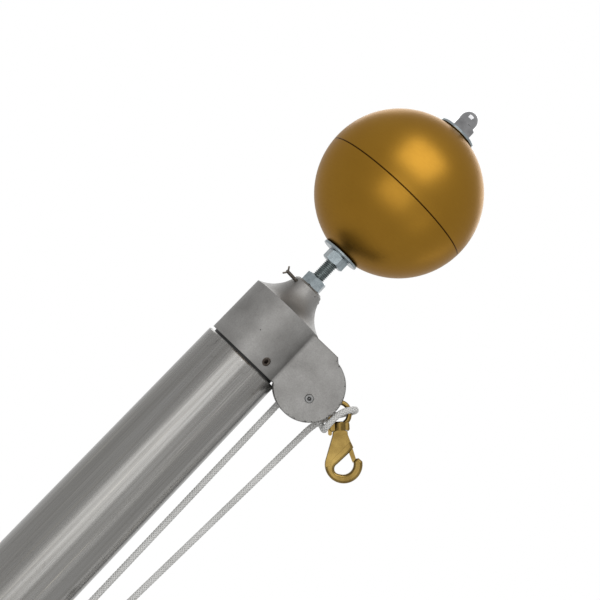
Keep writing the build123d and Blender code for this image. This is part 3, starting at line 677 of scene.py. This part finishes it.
# %% Wear at the tube's top edge
DINGED_LENGTH = 26 * MM
DINGED_FULL = 4 * MM
CHIPPED_LENGTH = 4.5 * MM
CHIPPED_FULL = 2.0 * MM
TUBE_DING = (0.05, 0.047, 0.043)
TUBE_CHIP = (0.3, 0.3, 0.29)
up_tube = object_axes(tree)[2]
marks = effect(tree, scratches, surface(tree, (1, 1, 0.5)), Scale=85.0, Width=0.012, Amount=1.0)
near_top = stepped(tree, up_tube, tube_top - DINGED_LENGTH, tube_top - DINGED_FULL)
dings = math_node(tree, "MULTIPLY", marks, ranged(tree, near_top, 0.12, 1.0))
edge_chips = effect(tree, pits, surface(tree), Scale=600.0, Size=0.32, Share=0.3)
at_edge = stepped(tree, up_tube, tube_top - CHIPPED_LENGTH, tube_top - CHIPPED_FULL)
edge_chips = math_node(tree, "MULTIPLY", edge_chips, at_edge)
tone = mixed(tree, dings, tone, TUBE_DING)
tone = mixed(tree, edge_chips, tone, TUBE_CHIP)

# %% Put the tube's finish together
tree.links.new(tone, shader.inputs["Base Color"])
rough = math_node(tree, "ADD", ranged(tree, fine_streaks, 0.2, 0.3), ranged(tree, speck, -0.03, 0.06))
tree.links.new(rough, shader.inputs["Roughness"])
height = math_node(tree, "SUBTRACT", math_node(tree, "MULTIPLY", speck, 0.25), dings)
bumped(tree, shader, height, distance=0.05 * MM, strength=0.6)
finishes["tube"] = material
print("tube finish:", len(tree.nodes), "nodes")

# %% [markdown]
# ### The casting
#
# The truck is a sand casting that was tumbled smooth. It keeps a fine grain, some open pits, a few
# scuffs and a row of chips along the cheeks' outer edge, and it is duller than the tube.

# %% The chipped rim of the cheeks
# The cheeks' round edge has its centre behind and above the axle.
CHEEK_RADIUS = 32 * MM
CHEEK_BACK = 7.5 * MM
CHEEK_LIFT = 8.1 * MM
CHIPS_START = 1.9 * MM
CHIPS_FULL = 1.3 * MM
OUTER_SIDE = 4 * MM
axle_low, axle_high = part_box("sheave_axle")
cheek_x = (axle_low[0] + axle_high[0]) / 2 - CHEEK_BACK
cheek_z = (axle_low[2] + axle_high[2]) / 2 + CHEEK_LIFT


def rim_mask(tree):
    """1 along the outer edge of the round cheeks, where the casting gets chipped."""
    x, y, z = object_axes(tree)
    across = math_node(tree, "SUBTRACT", x, cheek_x)
    up = math_node(tree, "SUBTRACT", z, cheek_z)
    reach = distance_out(tree, across, up)
    near_rim = stepped(tree, reach, CHEEK_RADIUS - CHIPS_START, CHEEK_RADIUS - CHIPS_FULL)
    return math_node(tree, "MULTIPLY", near_rim, stepped(tree, across, 0.0, OUTER_SIDE))


print("cheeks' centre at", round(cheek_x, 4), round(cheek_z, 4))

# %% Tumbled casting
CASTING_DARK = (0.175, 0.171, 0.164)
CASTING_LIGHT = (0.245, 0.241, 0.233)
CASTING_SAND = (0.105, 0.102, 0.098)
CASTING_BLEMISH = (0.045, 0.042, 0.04)
material, tree, shader = new_finish("casting", CASTING_LIGHT, metallic=0.85, roughness=0.45)
vector = surface(tree)
sand = effect(tree, grain, vector, Scale=900.0, Contrast=1.8)
cloud = effect(tree, grain, vector, Scale=55.0, Contrast=2.2)
open_pits = effect(tree, pits, vector, Scale=210.0, Size=0.13, Share=0.035)
scuffs = effect(tree, scratches, surface(tree, (1, 1, 1.6)), Scale=45.0, Width=0.004, Amount=0.5)
tone = mixed(tree, cloud, CASTING_DARK, CASTING_LIGHT)
tone = mixed(tree, sand, tone, CASTING_SAND, share=0.3)
blemish = math_node(tree, "MAXIMUM", open_pits, scuffs)
chips = effect(tree, pits, vector, Scale=650.0, Size=0.42, Share=0.5)
blemish = math_node(tree, "MAXIMUM", blemish, math_node(tree, "MULTIPLY", chips, rim_mask(tree)))
tone = mixed(tree, blemish, tone, CASTING_BLEMISH)
tree.links.new(tone, shader.inputs["Base Color"])
tree.links.new(ranged(tree, sand, 0.44, 0.6), shader.inputs["Roughness"])
height = math_node(tree, "SUBTRACT", math_node(tree, "MULTIPLY", sand, 0.5), blemish)
bumped(tree, shader, height, distance=0.12 * MM, strength=0.5)
finishes["casting"] = material
print("casting finish:", len(tree.nodes), "nodes")

# %% [markdown]
# ### The ball
#
# The ball is spun from sheet aluminium and anodised gold. The satin finish is in the metal, so the
# colour stays even, and only a very fine turned grain breaks the gloss. Dirt gathers in the seam, and
# a painted shade darkens the seam's groove.

# %% Gold anodising
GOLD_DARK = (0.205, 0.105, 0.0125)
GOLD_LIGHT = (0.245, 0.130, 0.017)
GOLD_TURNED = (0.165, 0.075, 0.010)
GOLD_EDGE_TINT = (0.8, 0.72, 0.64)
# The dark band at the seam is partly grime and partly painted shade in the seam's groove.
SEAM_GRIME_AND_SHADE = (0.035, 0.012, 0.004)
GRIME_AND_SHADE_FULL = 0.25 * MM
GRIME_AND_SHADE_END = 0.9 * MM
seam_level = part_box("ball_upper_bowl")[0][2]
material, tree, shader = new_finish("gold", GOLD_LIGHT, metallic=1, roughness=0.35)
shader.inputs["Specular Tint"].default_value = (*GOLD_EDGE_TINT, 1)
vector = surface(tree)
turned = effect(tree, grain, surface(tree, (0.12, 0.12, 1.0)), Scale=1500.0, Contrast=1.4)
cloud = effect(tree, grain, vector, Scale=22.0, Contrast=1.2)
speck = effect(tree, grain, vector, Scale=2200.0, Contrast=1.4)
tone = mixed(tree, cloud, GOLD_DARK, GOLD_LIGHT)
tone = mixed(tree, turned, tone, GOLD_TURNED, share=0.25)
above_seam = math_node(tree, "SUBTRACT", object_axes(tree)[2], seam_level)
from_seam = math_node(tree, "ABSOLUTE", above_seam)
grime_and_shade = math_node(tree, "SUBTRACT", 1.0, stepped(tree, from_seam, GRIME_AND_SHADE_FULL, GRIME_AND_SHADE_END))
tone = mixed(tree, grime_and_shade, tone, SEAM_GRIME_AND_SHADE, share=0.8)
tree.links.new(tone, shader.inputs["Base Color"])
rough = math_node(tree, "ADD", ranged(tree, turned, 0.33, 0.40), ranged(tree, speck, -0.02, 0.02))
tree.links.new(rough, shader.inputs["Roughness"])
height = math_node(tree, "ADD", turned, speck)
bumped(tree, shader, height, distance=0.012 * MM, strength=0.5)
finishes["gold"] = material
print("gold finish: seam at", round(seam_level, 4))

# %% [markdown]
# ### Zinc, steel and the small fittings
#
# Nuts, washers and rod are zinc plated, with a cold blue cast and a mottled bloom, and the rod's zinc
# is painted darker, as shade. The split pin is old brown wire, the domed nut is bright steel, and
# the set screws are oiled black. They are all one recipe, so one function makes them from two tones,
# the limits of the roughness, and where it matters the size of the bloom and the depth of the grain.

# %% Plated and plain steel
MARK_SHADE = 0.35


def plated(name, light, dark, rough_low, rough_high, bloom_scale=320.0, depth=0.01):
    """A metal with a mottled bloom and a fine grain."""
    material, tree, shader = new_finish(name, light, 1, rough_low)
    vector = surface(tree)
    bloom = effect(tree, grain, vector, Scale=bloom_scale, Contrast=1.8)
    speck = effect(tree, grain, vector, Scale=2400.0, Contrast=1.5)
    marks = effect(tree, scratches, vector, Scale=160.0, Width=0.008, Amount=0.5)
    tone = mixed(tree, bloom, dark, light)
    tone = mixed(tree, marks, tone, tuple(part * MARK_SHADE for part in dark))
    tree.links.new(tone, shader.inputs["Base Color"])
    tree.links.new(ranged(tree, speck, rough_low, rough_high), shader.inputs["Roughness"])
    height = math_node(tree, "SUBTRACT", math_node(tree, "MULTIPLY", speck, 0.4), marks)
    bumped(tree, shader, height, distance=depth * MM, strength=0.5)
    return material


# Name, light and dark tone, roughness from and to, scale of the bloom, depth of the grain in mm.
for name, *values in (
    ("zinc", (0.265, 0.302, 0.317), (0.17, 0.198, 0.21), 0.22, 0.36),
    # The rod's zinc is the nuts' zinc painted darker, as shade.
    ("rolled_zinc", (0.19, 0.218, 0.218), (0.09, 0.107, 0.107), 0.24, 0.4),
    ("dark_steel", (0.27, 0.27, 0.275), (0.16, 0.16, 0.163), 0.03, 0.06, 120.0, 0.002),
    ("dark_screw", (0.085, 0.072, 0.062), (0.035, 0.028, 0.023), 0.25, 0.45),
    ("aged_wire", (0.16, 0.14, 0.12), (0.07, 0.06, 0.05), 0.25, 0.45),
    ("axle", (0.15, 0.15, 0.148), (0.07, 0.07, 0.07), 0.2, 0.35),
    ("plug", (0.62, 0.62, 0.61), (0.52, 0.52, 0.51), 0.2, 0.32),
):
    finishes[name] = plated(name, *values)
    print(name, "finish made")

# %% [markdown]
# ### Brass
#
# The snap is a polished casting that has begun to tarnish. Brown gathers in soft clouds over the
# yellow metal, and the gloss drops where it does.

# %% Tarnished brass
TARNISHED = (0.085, 0.052, 0.014)
POLISHED = (0.235, 0.162, 0.05)
BRASS_SPOT = (0.22, 0.145, 0.05)
material, tree, shader = new_finish("brass", POLISHED, metallic=1, roughness=0.22)
vector = surface(tree)
polish = effect(tree, grain, vector, Scale=60.0, Contrast=1.6)
speck = effect(tree, grain, vector, Scale=1500.0, Contrast=1.6)
spots = effect(tree, pits, vector, Scale=500.0, Size=0.16, Share=0.08)
tone = mixed(tree, polish, TARNISHED, POLISHED)
tone = mixed(tree, spots, tone, BRASS_SPOT)
tree.links.new(tone, shader.inputs["Base Color"])
gloss = math_node(tree, "MULTIPLY", polish, 0.08)
rough = math_node(tree, "SUBTRACT", ranged(tree, speck, 0.26, 0.34), gloss)
tree.links.new(rough, shader.inputs["Roughness"])
height = math_node(tree, "SUBTRACT", math_node(tree, "MULTIPLY", polish, 0.8), spots)
bumped(tree, shader, height, distance=0.03 * MM, strength=0.5)
finishes["brass"] = material
print("brass finish:", len(tree.nodes), "nodes")

# %% [markdown]
# ### Rope, washer and sheave
#
# Polyester yarn is white with a soft sheen, and dirt settles in it in faint grey stretches. The
# washer is matt black plastic, and the sheave is moulded nylon, a little yellowed.

# %% Rope yarn
YARN_DIRTY = (0.52, 0.52, 0.507)
YARN_CLEAN = (0.70, 0.70, 0.69)
YARN_SHADOW = (0.40, 0.40, 0.39)
YARN_SHEEN = 0.25
material, tree, shader = new_finish("rope", YARN_CLEAN, metallic=0, roughness=0.75)
fibres = effect(tree, grain, surface(tree, (1, 1, 0.4)), Scale=3200.0, Contrast=2.0)
clean = effect(tree, grain, surface(tree), Scale=28.0, Contrast=1.6)
tone = mixed(tree, clean, YARN_DIRTY, YARN_CLEAN)
tone = mixed(tree, fibres, tone, YARN_SHADOW, share=0.3)
tree.links.new(tone, shader.inputs["Base Color"])
shader.inputs["Sheen Weight"].default_value = YARN_SHEEN
bumped(tree, shader, fibres, distance=0.06 * MM, strength=0.6)
finishes["rope"] = material
print("rope finish:", len(tree.nodes), "nodes")

# %% Moulded plastics
def moulded(name, light, dark, rough_low, rough_high):
    """Plastic with a faint cloud and the fine texture of its mould."""
    material, tree, shader = new_finish(name, light, 0, rough_low)
    vector = surface(tree)
    cloud = effect(tree, grain, vector, Scale=60.0, Contrast=1.5)
    skin = effect(tree, grain, vector, Scale=1800.0, Contrast=1.5)
    tree.links.new(mixed(tree, cloud, dark, light), shader.inputs["Base Color"])
    tree.links.new(ranged(tree, skin, rough_low, rough_high), shader.inputs["Roughness"])
    bumped(tree, shader, skin, distance=0.03 * MM, strength=0.5)
    return material


finishes["washer_black"] = moulded("washer_black", (0.02, 0.02, 0.02), (0.008, 0.008, 0.008), 0.5, 0.7)
finishes["sheave"] = moulded("sheave", (0.74, 0.73, 0.68), (0.66, 0.64, 0.58), 0.35, 0.5)
print("finishes:", sorted(finishes))

# %% [markdown]
# ## Every piece gets its finish
#
# The frame's record names a finish for each solid. Two pieces differ from it: the split pin is old
# wire among the zinc, and the threaded rod has a darker zinc than the nuts, which is painted shade.

# %% Put the finishes on
dressed = {rope: "rope", inner_knot: "rope", outer_knot: "rope", studding: "rolled_zinc"}
for part in frame["record"]["subparts"]:
    solid = nodes[part["node"]]
    dressed[solid] = "aged_wire" if part["node"] == "cotter_pin" else part["material_slot"]
for piece, finish in dressed.items():
    piece.data.materials.clear()
    piece.data.materials.append(finishes[finish])
print("pieces with a finish:", len(dressed))

# %% [markdown]
# ## Floor, backdrop and light
#
# Metal shows its surroundings, so the studio matters as much as the finishes. The floor is pale, and
# the room is white to the camera and to every ray that a metal or a glass sends out, so a reflection
# shows the same background as the camera sees. What lights the matt surfaces is a softer level.

# %% Rays that see the background
def background_mask(tree):
    """1 for rays from the camera, and for rays reflected or let through by the object."""
    ray = tree.nodes.new("ShaderNodeLightPath")
    clear = math_node(tree, "MAXIMUM", ray.outputs["Is Camera Ray"], ray.outputs["Is Transmission Ray"])
    return math_node(tree, "MAXIMUM", clear, ray.outputs["Is Glossy Ray"])


# %% Floor
FLOOR_RADIUS = 0.45
FLOOR_COLOUR = (0.82, 0.82, 0.82)
FLOOR_GLOW = 0.4
bpy.ops.mesh.primitive_circle_add(vertices=96, radius=FLOOR_RADIUS, fill_type="NGON")
floor = bpy.context.object
floor.name = "floor"
material = bpy.data.materials.new("floor")
material.use_nodes = True
tree = material.node_tree
tree.nodes.clear()
pale = tree.nodes.new("ShaderNodeBsdfDiffuse")
pale.inputs["Color"].default_value = (*FLOOR_COLOUR, 1)
glow = tree.nodes.new("ShaderNodeEmission")
lifted = math_node(tree, "MULTIPLY", background_mask(tree), FLOOR_GLOW)
tree.links.new(lifted, glow.inputs["Strength"])
both = tree.nodes.new("ShaderNodeAddShader")
tree.links.new(pale.outputs[0], both.inputs[0])
tree.links.new(glow.outputs[0], both.inputs[1])
out = tree.nodes.new("ShaderNodeOutputMaterial")
tree.links.new(both.outputs[0], out.inputs["Surface"])
floor.data.materials.append(material)
print("floor radius", FLOOR_RADIUS)

# %% Room
ROOM_LEVEL = 0.35
ROOM_TINT = (1.0, 0.99, 0.97)
scene = bpy.context.scene
scene.view_settings.view_transform = "Standard"
world = scene.world or bpy.data.worlds.new("studio")
scene.world = world
world.use_nodes = True
tree = world.node_tree
tree.nodes.clear()
room_light = tree.nodes.new("ShaderNodeBackground")
room_light.inputs["Color"].default_value = (*ROOM_TINT, 1)
room_light.inputs["Strength"].default_value = ROOM_LEVEL
white = tree.nodes.new("ShaderNodeBackground")
white.inputs["Color"].default_value = (1, 1, 1, 1)
white.inputs["Strength"].default_value = 1.0
choose = tree.nodes.new("ShaderNodeMixShader")
tree.links.new(background_mask(tree), choose.inputs[0])
tree.links.new(room_light.outputs[0], choose.inputs[1])
tree.links.new(white.outputs[0], choose.inputs[2])
out = tree.nodes.new("ShaderNodeOutputWorld")
tree.links.new(choose.outputs[0], out.inputs["Surface"])
print("room level", ROOM_LEVEL)

# %% [markdown]
# ### Softboxes
#
# A wide box in front draws the broad band down the tube, a weak one beside it fills in, and two
# narrow ones at the side draw thin streaks. One box overhead puts the glow on the ball, and one
# behind lights the upper edges. Each is given by the brightness that a mirror would see, so its
# power follows from its size.

# %% Lamps
def softbox(name, azimuth, elevation, distance, width, height, brightness, aim_z):
    """A rectangular lamp that looks at a point on the pole's axis."""
    turned, raised = math.radians(azimuth), math.radians(elevation)
    target = Vector((0, 0, aim_z))
    offset = Vector((
        math.sin(turned) * math.cos(raised), -math.cos(turned) * math.cos(raised), math.sin(raised)
    ))
    bpy.ops.object.light_add(type="AREA", location=target + offset * distance)
    lamp = bpy.context.object
    lamp.name = name
    lamp.rotation_euler = (-offset).to_track_quat("-Z", "Y").to_euler()
    lamp.data.shape = "RECTANGLE"
    lamp.data.size = width
    lamp.data.size_y = height
    lamp.data.energy = brightness * math.pi * width * height
    print(name, "power:", round(lamp.data.energy, 2), "W")


# Name, azimuth, elevation, distance, width, height, brightness, and where it looks.
ball_level = tube_top + 0.2
softbox("front_strip", -5, -6, 1.9, 1.45, 1.0, 1.9, tube_top)
softbox("side_fill", 32, -6, 1.9, 0.8, 1.0, 0.3, tube_top)
softbox("side_streak", 50, -6, 1.9, 0.22, 1.0, 1.3, tube_top)
softbox("far_streak", 112, -6, 1.9, 0.3, 1.0, 1.0, tube_top)
softbox("overhead_box", -12, 46, 1.6, 1.45, 1.35, 3.2, ball_level)
softbox("rim_box", 180, 28, 1.7, 2.0, 0.8, 2.0, ball_level)
